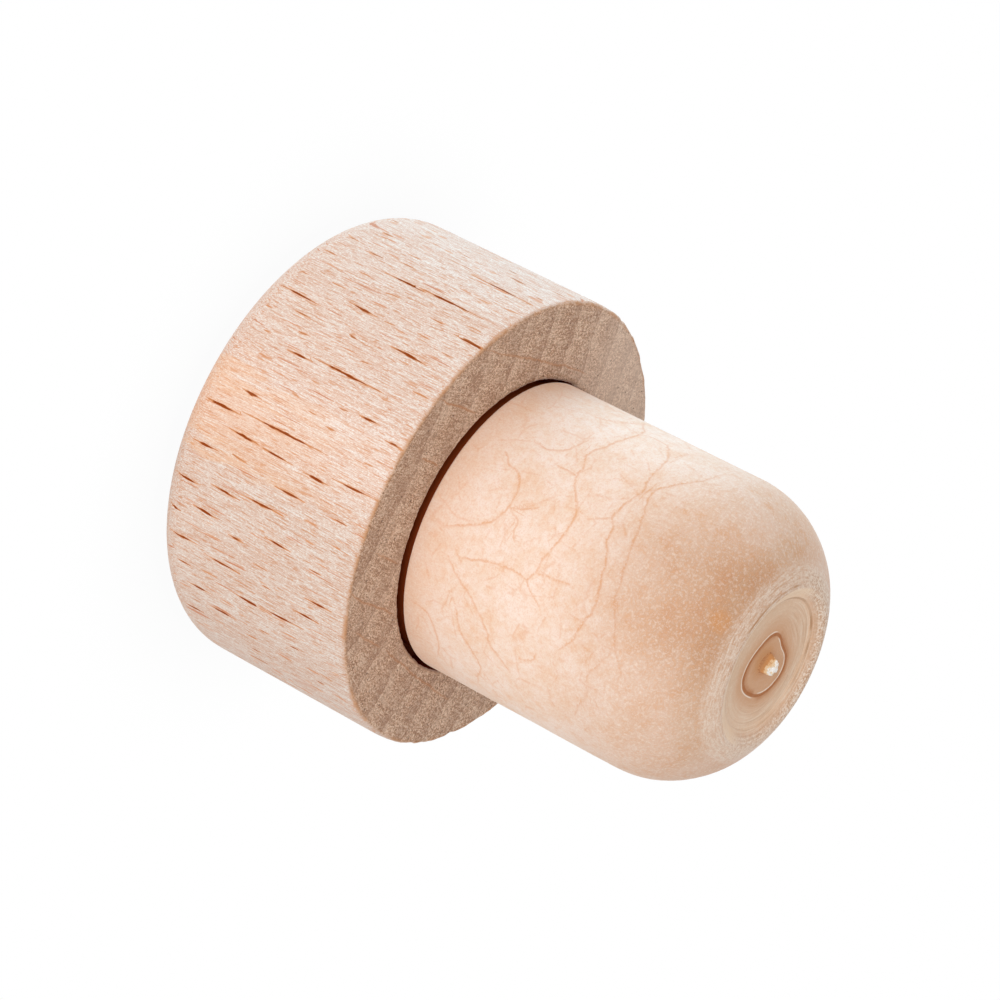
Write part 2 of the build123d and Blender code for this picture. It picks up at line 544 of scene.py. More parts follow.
def head_section(settings):
    """The head's section: flat top, round, side, lower face, bore wall and bore floor."""
    top_round, edge_break = settings.top_round / MM, settings.edge_break / MM
    mouth_break = settings.mouth_break / MM
    section = Section(0.0)
    section.line(HEAD_RADIUS - top_round, 0.0, 1.2)
    section.arc((HEAD_RADIUS - top_round, top_round), top_round, -82, 0, 0.28)
    section.line(HEAD_RADIUS, FACE_HEIGHT - edge_break - 0.2, 0.3)
    section.line(HEAD_RADIUS, FACE_HEIGHT - edge_break, 0.07)
    section.line(HEAD_RADIUS - edge_break, FACE_HEIGHT, 0.07)
    section.line(BORE_RADIUS + mouth_break, FACE_HEIGHT, 0.12)
    section.line(BORE_RADIUS - 0.07, FACE_HEIGHT - mouth_break, 0.06)
    section.line(BORE_RADIUS, FACE_HEIGHT - mouth_break - 0.3, 0.2)
    section.line(BORE_RADIUS, BORE_FLOOR, 1.0)
    section.line(0.0, BORE_FLOOR, 2.0)
    return section


def head_mesh(settings):
    """The head, with its torn end grain and nicked rim cut into the mesh."""
    rng = np.random.default_rng(HEAD_SEED)
    radius, height = head_section(settings).rings()
    angle = np.arange(HEAD_COLUMNS)[None, :] * 360 / HEAD_COLUMNS
    up = height / FACE_HEIGHT

    side = ease(radius, HEAD_RADIUS - 0.1, HEAD_RADIUS - 0.02)
    fibres = ripple(rng, angle, up, 640, 14) * 0.5 + ripple(rng, angle, up, 320, 6) * 0.5
    inward = side * (0.006 + 0.006 * fibres)

    out = (radius - BORE_RADIUS) / (HEAD_RADIUS - BORE_RADIUS)
    on_face = ease(height, FACE_HEIGHT - 0.05, FACE_HEIGHT) * (radius > BORE_RADIUS)
    torn = ripple(rng, angle, out, 480, 32) * 0.6 + ripple(rng, angle, out, 240, 16) * 0.4
    downward = on_face * settings.fuzz / MM * (0.5 + 0.5 * torn)

    near_rim = ease(radius, HEAD_RADIUS - 0.4, HEAD_RADIUS - 0.1)
    near_rim = near_rim * ease(height, FACE_HEIGHT - 0.45, FACE_HEIGHT - 0.15)
    nicks = 0.02 * (1 + ripple(rng, angle, up, 300, 2))
    nicks = nicks + 0.05 * ease(ripple(rng, angle, up, 170, 1), 0.35, 0.9)
    for nick_angle, width, depth in RIM_NICKS:
        away = (angle - nick_angle + 180) % 360 - 180
        nicks = nicks + depth * np.exp(-((away / width) ** 2))
    inward = inward + near_rim * nicks

    # The bore's mouth frays, and stands a little nearer to the plug on one side
    at_mouth = ease(radius, BORE_RADIUS + 0.3, BORE_RADIUS + 0.1)
    at_mouth = at_mouth * ease(height, FACE_HEIGHT - 0.6, FACE_HEIGHT - 0.1)
    nearer = MOUTH_SHIFT * np.clip(np.cos(np.radians(angle - MOUTH_SHIFT_TURN)), 0, 1)
    fray = MOUTH_FRAY * (ripple(rng, angle, up, 420, 2) + ripple(rng, angle, up, 90, 1))
    frayed = at_mouth * (fray - nearer)

    grid = turned(radius - inward + frayed, angle, height - downward)
    grid[..., 2] = np.minimum(grid[..., 2], FACE_HEIGHT)
    mesh = close_turning("beech_head", grid, (0, 0, 0), (0, 0, BORE_FLOOR))
    ends = np.broadcast_to(end_grain_share(radius, height), grid.shape[:2]).ravel()
    store_values(mesh, "end_grain", np.append(ends, (1.0, 1.0)))
    return mesh


def end_grain_share(radius, height):
    """1 on the flat ends of the head, 0 on its side and between them on the rounded edge."""
    face = ease(height, FACE_HEIGHT - 0.12, FACE_HEIGHT - 0.02)
    top = ease(radius, HEAD_RADIUS - 1.3, HEAD_RADIUS - 2.3) * ease(height, 0.4, 0.05)
    bore = (radius < BORE_RADIUS - 0.1).astype(float)
    return np.maximum(np.maximum(face, top), bore * ease(height, BORE_FLOOR + 0.2, BORE_FLOOR))


def head_flecks(rng):
    """Turn angle, height and length of every fleck: the placed ones, then random ones clear of them."""
    flecks = list(SIDE_FLECKS)
    for _ in range(FLECK_TRIES):
        angle, middle = rng.uniform(-180, 180), rng.uniform(1.6, 14.6)
        length = rng.choice(FLECK_LENGTHS, p=FLECK_SHARES)
        if abs(angle) < PLACED_WITHIN and length > SHORT_FLECK:
            continue
        clear = all(abs((angle - a + 180) % 360 - 180) * radians(1) * HEAD_RADIUS > CLEAR_ACROSS
                    or abs(middle - m) > (length + n) / 2 + CLEAR_ALONG for a, m, n in flecks)
        if clear and middle + length / 2 < FACE_HEIGHT and middle - length / 2 > 1.0:
            flecks.append((angle, middle, length))
    return flecks


def head_marks(settings):
    """The dark rays of the head: flecks on its side, lines across its face and one that runs down."""
    rng = np.random.default_rng(FLECK_SEED)
    top_round = settings.top_round / MM
    marks = []
    for number, (angle, middle, length) in enumerate(head_flecks(rng)):
        by_hand = number < len(SIDE_FLECKS)
        reach = 1.65 * length if by_hand else length
        run = np.linspace(-0.5, 0.5, max(8, round(reach / 0.05)))
        lean = rng.normal(0, 1.2) * length / 15
        turn = angle + lean * run * 2
        lift = np.clip(middle + run * reach, 0.3, FACE_HEIGHT - 0.02)
        half = rng.uniform(0.075, 0.10) if by_hand else rng.uniform(0.05, 0.07)
        strength = rng.uniform(0.85, 1.0) if by_hand else rng.uniform(0.4, 0.8)
        below = np.clip(top_round - lift, 0, top_round)
        radius = HEAD_RADIUS - top_round + np.sqrt(top_round**2 - below**2)
        tail = 0.17 if by_hand else 0.0
        marks.append(Mark(turned(radius, turn, lift), half, strength, 1.0 - 2 * tail, tail))
    for ray in FACE_RAYS:
        line = smooth_line(ray)
        wander = np.cumsum(rng.normal(0, 0.012, len(line)))
        flat = np.column_stack([line[:, 0] + wander, line[:, 1], np.full(len(line), FACE_HEIGHT)])
        marks.append(Mark(flat, 0.06, rng.uniform(0.5, 0.8), taper=0.5))
    edge_x, edge_y = FACE_RAYS[0][-1]
    down = np.linspace(FACE_HEIGHT, FACE_HEIGHT - RUN_DOWN, 36)
    marks.append(Mark(turned(HEAD_RADIUS, degrees(atan2(edge_x, -edge_y)), down), 0.06, 0.7, taper=0.5))
    return marks


def ray_flecks(graph, grain, spacing, half_size, offset):
    """Spindle-shaped marks, one to each cell of a loose lattice in the grain's own directions."""
    shifted = graph.vector("ADD", graph.stretch(grain, *spacing), offset)
    cells = graph.cells(shifted)
    apart = graph.vector("MULTIPLY", graph.vector("SUBTRACT", shifted, cells.outputs["Position"]), spacing)
    x, y, z = graph.split(graph.vector("DIVIDE", apart, half_size))
    chance, size, _ = graph.split(cells.outputs["Color"])
    size = graph.smooth(size, 0, 1, 0.55, 1.0)
    reach = graph.sum(graph.math("ABSOLUTE", x), graph.times(y, y), graph.times(z, z))
    shape = graph.math("SUBTRACT", size, reach)
    mask = graph.smooth(shape, 0.0, 0.35)
    return graph.times(mask, graph.smooth(chance, 0.0, 0.9, 0.2, 1.0))


# Paint of the head's side
PALE_BAND = (0.94, 0.77, 0.67)
TAN_BAND = (0.84, 0.56, 0.42)
BROWN_STROKE = (0.76, 0.43, 0.28)
BROWN_GRIT = (0.70, 0.43, 0.31)
PALE_GRIT = (1.0, 0.96, 0.92)
BROWN_DASH = (0.70, 0.32, 0.16)
# Painted shade for the side
PAINTED_SHADE_WOOD = (0.87, 0.87, 0.86)
STREAK_TINT = (0.98, 0.86, 0.76)
STREAK_BORDER = (0.94, 0.56, 0.30)
FLECK_HALO = (0.86, 0.42, 0.20)
FLECK_EDGE = (0.66, 0.26, 0.09)

# Paint of its end grain, its browned rim, and the painted shade in its bore
DARK_SPECK = (0.27, 0.145, 0.085)
PALE_SPECK = (0.96, 0.78, 0.62)
DARK_BLOTCH = (0.46, 0.28, 0.19)
PALE_BLOTCH = (0.74, 0.55, 0.42)
PALE_RAY = (0.90, 0.68, 0.52)
TOOL_LINE = (0.42, 0.27, 0.19)
LATE_WOOD = (0.36, 0.21, 0.14)
RING_LINE = (0.30, 0.14, 0.08)
EARLY_WOOD = (0.82, 0.64, 0.50)
# Painted light on the face toward +Y and -X
PAINTED_LIGHT_FACE = (0.84, 0.68, 0.57)
PORE = (0.16, 0.08, 0.045)
FACE_RAY_HALO = (0.66, 0.38, 0.22)
FACE_RAY = (0.52, 0.24, 0.12)
BORE_LIP = (0.86, 0.60, 0.42)
BROWNED_RIM = (0.60, 0.28, 0.12)
# Painted shade in the bore and the gap
GAP_SHADE = (0.42, 0.075, 0.018)

# Rays on a lattice, smallest first: spacing, half size, offset, share and paint.
# The first two are round the pith, out from it and along the trunk, in millimetres.
LATTICE_RAYS = (
    ((0.28, 0.7, 0.9), (0.035, 0.28, 0.45), (4.6, 8.1, 2.7), 0.8, (0.76, 0.38, 0.20)),
    ((0.5, 0.8, 1.5), (0.05, 0.27, 0.8), (9.4, 2.2, 5.8), 0.85, (0.70, 0.29, 0.13)),
    ((0.95, 1.4, 2.4), (0.07, 0.42, 1.25), (3.1, 7.7, 1.3), 0.85, (0.62, 0.21, 0.08)),
)


class Wood:
    """What the beech is painted by: the tree's own directions, fibres, pores and the drawn marks."""

    def __init__(self, graph):
        self.place = graph.place()
        self.x, self.y, self.z = graph.split(self.place)
        self.radius = graph.length(self.x, self.y)
        self.ends = graph.attribute("end_grain").outputs["Fac"]

        # Round the pith, out from it and along the trunk
        pith_x = graph.math("SUBTRACT", self.x, PITH[0])
        pith_y = graph.math("SUBTRACT", self.y, PITH[1])
        straight = graph.times(graph.math("ARCTAN2", pith_x, pith_y), -PITH[1])
        waves = graph.noise(graph.stretch(self.place, 6, 6, 12), detail=1)
        self.arc = graph.sum(straight, graph.smooth(waves, 0, 1, -0.3, 0.3))
        self.from_pith = graph.length(pith_x, pith_y)
        self.grain = graph.join(self.arc, self.from_pith, self.z)

        # Fibres: a fine grit, strokes along the grain and sparse thin dashes
        shifted = graph.vector("ADD", self.grain, (7, 3, 5))
        self.grit = graph.noise(graph.stretch(self.grain, 0.06, 0.06, 0.16), detail=2, roughness=0.7)
        self.strokes = graph.noise(graph.stretch(self.grain, 0.10, 0.10, 2.0), detail=3, roughness=0.65)
        self.dashes = graph.noise(graph.stretch(shifted, 0.085, 0.085, 0.8), detail=1)

        # End grain: a speckle drawn out along the rays, blotches and pores
        self.speck = graph.noise(graph.stretch(self.grain, 0.10, 0.15, 0.3), detail=3, roughness=0.75)
        self.blotch = graph.lumps(self.place, 1.2, detail=3)
        self.pores = graph.dots(self.place, 0.3, (0.28, 0.16), (0.90, 0.95))

        # The drawn ray flecks, and a soft halo round each
        wander = graph.smooth(self.dashes, 0, 1, -0.05, 0.05)
        self.flecks = graph.line_mask("ray_marks", wander, 0.06)
        wander = graph.smooth(self.strokes, 0, 1, -0.1, 0.1)
        self.halo = graph.line_mask("ray_marks", wander, 0.26)


def fibre_paint(graph, settings, wood):
    """The side's fibres, pale and tan, in bands that change slowly, with painted shade toward +X, -X and
    the far side.
    """
    tone = graph.noise(graph.stretch(wood.grain, 1.6, 1.6, 9), detail=2)
    colour = graph.paint(settings.wood, PALE_BAND, tone, 0.35, 0.7, 0.45)
    colour = graph.paint(colour, TAN_BAND, tone, 0.45, 0.28, 0.3)
    colour = graph.paint(colour, BROWN_STROKE, wood.strokes, 0.51, 0.62, 0.6)
    colour = graph.paint(colour, settings.pale, wood.strokes, 0.49, 0.38, 0.8)
    colour = graph.paint(colour, BROWN_GRIT, wood.grit, 0.5, 0.64, 0.55)
    colour = graph.paint(colour, PALE_GRIT, wood.grit, 0.48, 0.35, 0.75)
    colour = graph.paint(colour, BROWN_DASH, wood.dashes, 0.575, 0.66, 0.75)

    # Painted shade: a little darker toward +X, toward -X and on the far side
    painted_shade = graph.tint(colour, PAINTED_SHADE_WOOD)
    colour = graph.paint(colour, painted_shade, wood.x, 0.5, 6.0)
    colour = graph.paint(colour, painted_shade, wood.x, -1.0, -4.0, 0.35)
    return graph.paint(colour, painted_shade, wood.y, 0.0, 7.0, 0.8)


def warm_streak(graph, settings, wood, colour):
    """The orange streak down the near side, strongest at the head's top and along its borders."""
    edge = graph.noise(graph.stretch(wood.grain, 0.8, 3, 4), detail=3)
    across = graph.sum(wood.x, graph.smooth(edge, 0.2, 0.8, -1.5, 1.5))
    left = graph.smooth(across, -1.9, -0.1)
    right = graph.smooth(across, 4.6, 2.9)
    lift = graph.sum(wood.z, graph.smooth(edge, 0.2, 0.8, -4, 4))
    low = graph.smooth(lift, 15.0, 3.0, 0.05, 1.0)
    near = graph.smooth(wood.y, -12.0, -14.0)
    patchy = graph.smooth(wood.strokes, 0.40, 0.58, 0.55, 1.0)
    streak = graph.times(left, right, low, near, patchy)
    within = graph.sum(graph.smooth(across, -1.2, 0.9), graph.smooth(across, 3.9, 2.2))
    borders = graph.math("SUBTRACT", 2.0, within)
    tinted = graph.tint(colour, STREAK_TINT)
    colour = graph.mix(graph.times(streak, 0.7), colour, tinted)
    colour = graph.mix(graph.times(streak, 0.24), colour, settings.warm)
    return graph.mix(graph.times(streak, borders, 0.3), colour, STREAK_BORDER)


def ray_paint(graph, settings, wood, colour):
    """Rays on the side: orange brown ones on lattices and the drawn dark ones."""
    for spacing, half_size, offset, share, paint in LATTICE_RAYS:
        flecks = ray_flecks(graph, wood.grain, spacing, half_size, offset)
        colour = graph.mix(graph.times(flecks, share), colour, paint)
    colour = graph.mix(graph.times(wood.halo, 0.55), colour, FLECK_HALO)
    colour = graph.paint(colour, FLECK_EDGE, wood.flecks, 0.0, 0.6, 0.9)
    return graph.paint(colour, settings.ray, wood.flecks, 0.5, 0.95)


def end_grain_paint(graph, settings, wood):
    """End grain: a pale and dark speckle, blotches, fine rays and faint turned lines."""
    fine_rays = graph.noise(graph.stretch(wood.grain, 0.16, 1.8, 2.0), detail=2)
    end = graph.paint(settings.end_grain, DARK_SPECK, wood.speck, 0.5, 0.6, 0.9)
    end = graph.paint(end, PALE_SPECK, wood.speck, 0.49, 0.38, 0.9)
    end = graph.paint(end, DARK_BLOTCH, wood.blotch, 0.45, 0.7, 0.3)
    end = graph.paint(end, PALE_BLOTCH, wood.blotch, 0.48, 0.3, 0.3)
    end = graph.paint(end, PALE_RAY, fine_rays, 0.52, 0.68, 0.35)
    spiral = graph.join(graph.times(wood.radius, 9.0), graph.times(wood.arc, 0.3), 0.0)
    turning = graph.noise(spiral, detail=1)
    return graph.paint(end, TOOL_LINE, turning, 0.52, 0.68, 0.25)


def growth_rings(graph, wood, end):
    """Growth rings: paler early wood, a brown late band and a thin dark line at its outer edge, then
    painted light toward +Y and -X.
    """
    bends = graph.noise(graph.stretch(wood.place, 2.4, 2.4, 9), detail=2)
    bent = graph.sum(wood.from_pith, graph.smooth(bends, 0, 1, -0.35, 0.35))
    outward = graph.math("SUBTRACT", bent, RING_START)
    rate = graph.sum(RING_RATE, graph.times(outward, RING_GROWTH))
    year = graph.math("FRACT", graph.times(outward, rate))
    before_winter = graph.smooth(year, 1.0, 0.985)
    late = graph.times(graph.smooth(year, 0.35, 0.97), before_winter)
    line = graph.times(graph.smooth(year, 0.945, 0.975), before_winter)
    patches = graph.noise(graph.stretch(wood.place, 1.8, 1.8, 4), detail=2)
    patches = graph.smooth(patches, 0.35, 0.65, 0.15, 1.0)
    uneven = graph.smooth(wood.blotch, 0.3, 0.7, 0.18, 0.42)
    end = graph.mix(graph.times(late, uneven), end, LATE_WOOD)
    end = graph.mix(graph.times(line, patches, 0.5), end, RING_LINE)
    end = graph.paint(end, EARLY_WOOD, year, 0.4, 0.0, 0.16)
    # Painted light: the face is paler and greyer toward +Y and -X
    far = graph.times(graph.smooth(wood.y, -4.0, 5.0), graph.smooth(wood.x, 2.0, -6.0))
    return graph.mix(graph.times(far, 0.4), end, PAINTED_LIGHT_FACE)


def beech_material(settings):
    """Beech as a solid: growth rings round the pith, rays that point at it, fibres and pores."""
    material, graph = new_material("beech")
    wood = Wood(graph)
    side = fibre_paint(graph, settings, wood)
    side = warm_streak(graph, settings, wood, side)
    side = ray_paint(graph, settings, wood, side)

    end = end_grain_paint(graph, settings, wood)
    end = growth_rings(graph, wood, end)
    end = graph.mix(graph.times(wood.pores, 0.8), end, PORE)
    end = graph.mix(graph.times(wood.halo, 0.35), end, FACE_RAY_HALO)
    end = graph.mix(graph.times(wood.flecks, 0.85), end, FACE_RAY)
    lip = graph.smooth(wood.radius, BORE_RADIUS + 0.22, BORE_RADIUS + 0.12)
    end = graph.mix(graph.times(lip, graph.smooth(wood.x, -8.0, -5.0), 0.4), end, BORE_LIP)

    # The rim of the lower face is browned, and the bore is painted dark as shade
    colour = graph.mix(wood.ends, side, end)
    at_edge = graph.smooth(wood.radius, HEAD_RADIUS - 0.4, HEAD_RADIUS - 0.12)
    rim = graph.times(at_edge, graph.smooth(wood.z, FACE_HEIGHT - 0.3, FACE_HEIGHT - 0.05))
    uneven = graph.smooth(wood.blotch, 0.35, 0.65, 0.2, 0.75)
    colour = graph.mix(graph.times(rim, uneven), colour, BROWNED_RIM)
    within = graph.smooth(wood.radius, BORE_RADIUS + 0.04, BORE_RADIUS + 0.01)
    bore = graph.times(within, graph.smooth(wood.z, FACE_HEIGHT - 0.08, FACE_HEIGHT - 0.14))
    colour = graph.mix(bore, colour, GAP_SHADE)

    side_relief = graph.sum(graph.times(wood.strokes, 0.5), graph.times(wood.grit, 0.4),
                            graph.times(wood.flecks, -0.35))
    end_relief = graph.sum(graph.times(wood.speck, 2.0), graph.times(wood.blotch, 0.4),
                           graph.times(wood.pores, -1.2))
    on_side = graph.math("SUBTRACT", 1.0, wood.ends)
    relief = graph.sum(graph.times(side_relief, on_side), graph.times(end_relief, wood.ends))

    # The dark marks, the lip and the bore have no gloss, which would turn them mauve
    dull = graph.math("MAXIMUM", graph.math("MAXIMUM", bore, wood.flecks), lip)
    clear = graph.math("SUBTRACT", 1.0, dull)
    roughness = graph.smooth(wood.strokes, 0.3, 0.7, 0.62, 0.75)
    graph.finish(colour, relief, 0.03, roughness, graph.times(clear, 0.2), graph.times(clear, 0.15))
    return material


def tip_arc(settings):
    """The arc of the plug's tip: its radius, its centre's distance from the axis, and its start."""
    tip_round = settings.tip_round / MM
    centre = PLUG_RADIUS - tip_round
    start = SHARP_RIM - sqrt(tip_round**2 - (settings.rim_radius / MM - centre) ** 2)
    return tip_round, centre, start


def plug_section(settings):
    """The plug's section, from the tenon's end to the middle of the gate's stub."""
    tenon_radius = PLUG_RADIUS - settings.tenon_step / MM
    shoulder = FACE_HEIGHT + settings.shoulder_gap / MM
    tip_round, centre, tip_start = tip_arc(settings)
    rim, recess = settings.rim_radius / MM, settings.recess_radius / MM
    floor = SHARP_RIM - settings.recess_depth / MM
    ring = settings.ring_radius / MM
    section = Section(TENON_END)
    section.line(tenon_radius - 0.6, TENON_END, 3.0)
    section.line(tenon_radius, TENON_END + 0.6, 0.5)
    section.line(tenon_radius, shoulder, 1.2)
    section.line(PLUG_RADIUS - 0.15, shoulder, 0.2)
    section.bend((PLUG_RADIUS, shoulder), (PLUG_RADIUS, shoulder + 0.2), 0.08)
    section.line(PLUG_RADIUS, tip_start, 0.2)
    before_rim = degrees(np.arccos((rim + 0.3 - centre) / tip_round))
    section.arc((centre, tip_start), tip_round, 1.5, before_rim, 0.15)
    section.bend((rim, SHARP_RIM), (rim - 0.28, SHARP_RIM - 0.16), 0.1)
    section.line(recess + 0.12, floor + 0.07, 0.08)
    section.bend((recess, floor), (recess - 0.12, floor), 0.05)
    section.line(ring + 0.24, floor, 0.09)
    section.line(ring - 0.24, floor, 0.04)
    section.line(0.0, floor, 0.05)
    return section


def plug_mesh(settings):
    """The plug, with its gate ring and torn stub as part of the one turned surface."""
    rng = np.random.default_rng(PLUG_SEED)
    radius, height = plug_section(settings).rings()
    angle = np.arange(PLUG_COLUMNS)[None, :] * 360 / PLUG_COLUMNS
    up = (height - FACE_HEIGHT) / (PLUG_TOP - FACE_HEIGHT)
    floor = SHARP_RIM - settings.recess_depth / MM
    ring = settings.ring_radius / MM
    recess = settings.recess_radius / MM

    outside = (height > FACE_HEIGHT + 0.3) & (radius > recess)
    wave = ripple(rng, angle, up, 24, 10) * 0.012 + ripple(rng, angle, up, 400, 100) * 0.006
    coarse = ease(height, FACE_HEIGHT + 14, FACE_HEIGHT + 19)
    grains = ripple(rng, angle, up, 400, 140) * 0.012 * coarse
    inward = outside * (0.018 + wave + grains)

    # The ring isn't quite round, nor quite in the middle
    bulge = sum(share * np.cos(np.radians(count * (angle - phase))) for count, share, phase in RING_WAVES)
    in_recess = (height > floor - 0.01) & (radius < recess - 0.2)
    pull = np.where(radius < ring + 0.3, 1.0, ease(radius, recess - 0.3, ring + 0.3)) * in_recess
    outward = bulge * ring * pull * np.clip(radius / ring, 0, 1)
    on_floor = (height > floor - 0.01) & (radius < recess)
    bead = settings.ring_height / MM * np.exp(-(((radius - ring) / RING_BEAD) ** 2)) * on_floor
    bead = bead * (1 + 0.12 * ripple(rng, angle, up, 40, 1))

    # The stub: a torn stump that rises away from its foot and ends in a ragged lip
    at_stub = (height > floor - 0.01) & (radius < 1.2)
    sideways, away = radius * np.sin(np.radians(angle)), -radius * np.cos(np.radians(angle))
    reach = np.hypot(sideways / STUB_HALF_SIZE[0], (away + 0.12) / STUB_HALF_SIZE[1])
    reach = reach + 0.10 * ripple(rng, angle, up, 9, 1) + 0.07 * ripple(rng, angle, up, 26, 1)
    ramp = 0.12 + 0.88 * ease(away, -0.75, 0.32)
    torn = ramp * (1 + 0.28 * ripple(rng, angle, radius, 20, 6) * ease(radius, 0.05, 0.4))
    stub = at_stub * ease(reach, 1.05, 0.82) * np.clip(torn, 0.05, 1.0) * settings.stub_height / MM

    rise = bead + stub + 0.01 * ripple(rng, angle, radius / recess, 60, 40) * in_recess
    grid = turned(radius - inward + outward, angle, height + rise)
    in_stub = ease(radius, 1.3, 0.6) * in_recess
    for axis, (middle, lean) in enumerate(zip(RING_MIDDLE, STUB_LEAN)):
        grid[..., axis] += middle * pull - middle * in_stub + lean * stub
    grid[..., 2] = np.minimum(grid[..., 2], PLUG_TOP)
    top = stub[-1].mean()
    stub_top = (STUB_LEAN[0] * top, STUB_LEAN[1] * top, floor + top)
    mesh = close_turning("moulded_plug", grid, (0, 0, TENON_END), stub_top)
    flat = np.broadcast_to(radius, grid.shape[:2]).ravel()
    store_values(mesh, "turned_radius", np.append(flat, (0.0, 0.0)))
    tear = (stub / (settings.stub_height / MM)).ravel()
    store_values(mesh, "tear", np.append(tear, (0.0, tear[-1])))
    return mesh


def on_plug(line, settings):
    """A line of turn angles and heights above the face, laid on the plug's side and rounded tip."""
    angle, lift = line[:, 0], line[:, 1]
    tip_round, centre, tip_start = tip_arc(settings)
    beyond = np.clip(lift + FACE_HEIGHT - tip_start, 0, tip_round * 0.95)
    radius = np.where(beyond > 0, centre + np.sqrt(tip_round**2 - beyond**2), PLUG_RADIUS)
    return turned(radius, angle, lift + FACE_HEIGHT)


def wavy(rng, line, amount):
    """The line with small random bends, in degrees and millimetres."""
    bends = rng.normal(0, 1, (len(line) // 6 + 4, 2))
    run = np.linspace(0, len(bends) - 1.001, len(line))
    index = run.astype(int)
    share = (run - index)[:, None]
    offset = bends[index] * (1 - share) + bends[index + 1] * share
    return line + offset * amount / SIDE_SCALE


def vein_line(places):
    """A vein's places joined smoothly, in steps of about 0.05 mm along the surface."""
    return smooth_line(np.array(places, float) * SIDE_SCALE) / SIDE_SCALE


def plug_veins(settings):
    """Two sets of veins, so that lines that meet lie in different sets."""
    rng = np.random.default_rng(VEIN_SEED)
    trunks, branches, hairs = [], [], []
    for turn, mirrored in ((0, 1), (178, -1)):
        for drawn, lines in ((VEIN_TRUNKS, trunks), (VEIN_BRANCHES, branches)):
            for places in drawn:
                moved = [(turn + mirrored * angle, lift) for angle, lift in places]
                lines.append(wavy(rng, vein_line(moved), 0.035))
    for trunk in trunks + branches:
        for _ in range(max(1, round(len(trunk) / 45))):
            start = trunk[rng.integers(len(trunk))]
            heading, length = rng.uniform(0, 2 * pi), rng.uniform(0.8, 2.6)
            steps = np.linspace(0, length, max(4, round(length / 0.4)))
            bend = np.cumsum(rng.normal(0, 0.35, len(steps)))
            along = np.cumsum(np.column_stack([np.cos(heading + bend), np.sin(heading + bend)]), 0)
            line = start + along * (steps[1] - steps[0]) / SIDE_SCALE
            if line[:, 1].min() > 0.4 and line[:, 1].max() < 19:
                hairs.append(vein_line(line))
    first = [Mark(on_plug(line, settings), 0.07, rng.uniform(0.6, 1.0), 0.3) for line in trunks]
    second = [Mark(on_plug(line, settings), 0.06, rng.uniform(0.5, 0.85), 0.3) for line in branches]
    second += [Mark(on_plug(line, settings), 0.045, rng.uniform(0.25, 0.6), 0.8) for line in hairs]
    return first, second


# Paint of the plug's side
PINK_CREAM = (0.98, 0.80, 0.72)
# Painted shade on the far side and next to the head
FAR_SHADE_TINT = (0.91, 0.88, 0.84)
SHADE_NEXT_TO_HEAD = (0.83, 0.55, 0.39)
GRAIN_TAN = (0.84, 0.48, 0.28)
GRAIN_CREAM = (0.98, 0.82, 0.70)
GRIT_TAN = (0.78, 0.42, 0.24)
GRIT_CREAM = (1.0, 0.88, 0.78)
SPECK_CREAM = (1.0, 0.86, 0.75)

# Paint of its tip, from the shoulder with its painted shade through the rim and the recess to the gate's
# stub
# Painted shade toward the tip and below the rim
TIP_SHADE_TINT = (0.62, 0.455, 0.33)
RIM_SHADE_TINT = (0.91, 0.88, 0.81)
SMEAR = (0.60, 0.27, 0.10)
# Frost on the rim, and a painted highlight in the same paint
FROST_AND_HIGHLIGHT = (0.90, 0.78, 0.67)
# Painted shade on the crest away from -Y, then its dark and pale speckle
FAR_CREST_SHADE = (0.80, 0.60, 0.44)
CREST_DARK = (0.50, 0.26, 0.14)
CREST_PALE = (1.0, 0.90, 0.80)
RECESS = (0.90, 0.67, 0.48)
TURNED_DARK = (0.60, 0.37, 0.22)
TURNED_PALE = (0.98, 0.86, 0.72)
# Painted light on the near flank, and painted shade in its creases
LIT_FLANK = (1.0, 0.76, 0.54)
FOOT_CREASE_SHADE = (0.40, 0.19, 0.08)
CREST_SHADE_LINE = (0.48, 0.24, 0.11)
GATE_HALO = (0.66, 0.35, 0.185)
# The ring's painted shade, its brown line and its painted highlight
RING_SHADE = (0.50, 0.20, 0.075)
RING_BROWN = (0.42, 0.14, 0.035)
RING_HIGHLIGHT = (1.0, 0.88, 0.76)
STUB_TAN = (0.88, 0.56, 0.30)
STUB_CREAM = (0.92, 0.73, 0.52)
TORN_WHITE = (1.0, 0.96, 0.92)
FRAYED_BROWN = (0.42, 0.15, 0.05)

# The orange smear below the rim: its middle and half size
SMEAR_PLACE = (-0.95, -7.25, 35.25)
SMEAR_SIZE = (0.7, 0.7, 0.8)


